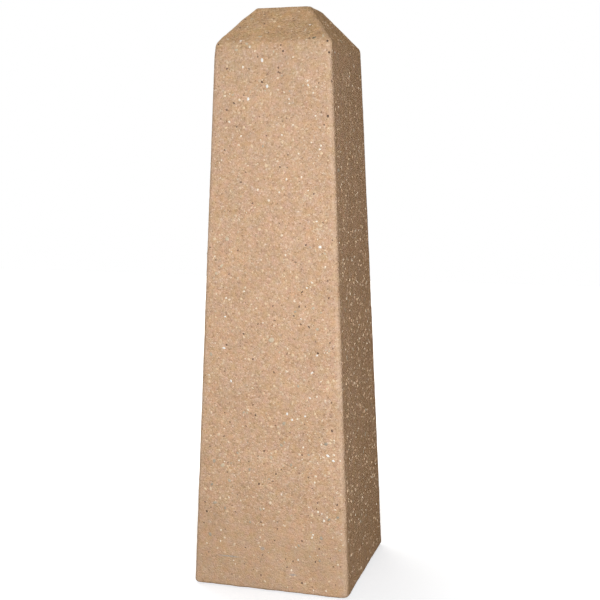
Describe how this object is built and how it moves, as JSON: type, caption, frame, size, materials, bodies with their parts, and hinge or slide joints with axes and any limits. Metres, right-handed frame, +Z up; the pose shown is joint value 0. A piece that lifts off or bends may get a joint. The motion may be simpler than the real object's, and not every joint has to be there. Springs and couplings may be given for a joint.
{
  "type": "concrete obelisk bollard",
  "caption": "Square cast concrete bollard shaped like a short obelisk, tapering to a blunt pyramid cap, with a threaded anchor socket in its base.",
  "frame": {"origin": "middle of the base, at ground level", "axes": "+Z up along the post, and the four sides face along X and Y"},
  "size_m": [0.2566, 0.2566, 0.914],
  "materials": {
    "concrete": "tan cast concrete, sandblasted so that its sand and small stones show, matt",
    "socket_steel": "zinc-plated steel, dull"
  },
  "bodies": {
    "root": {"obelisk_casting": "concrete", "anchor_socket": "socket_steel"}
  },
  "joints": []
}
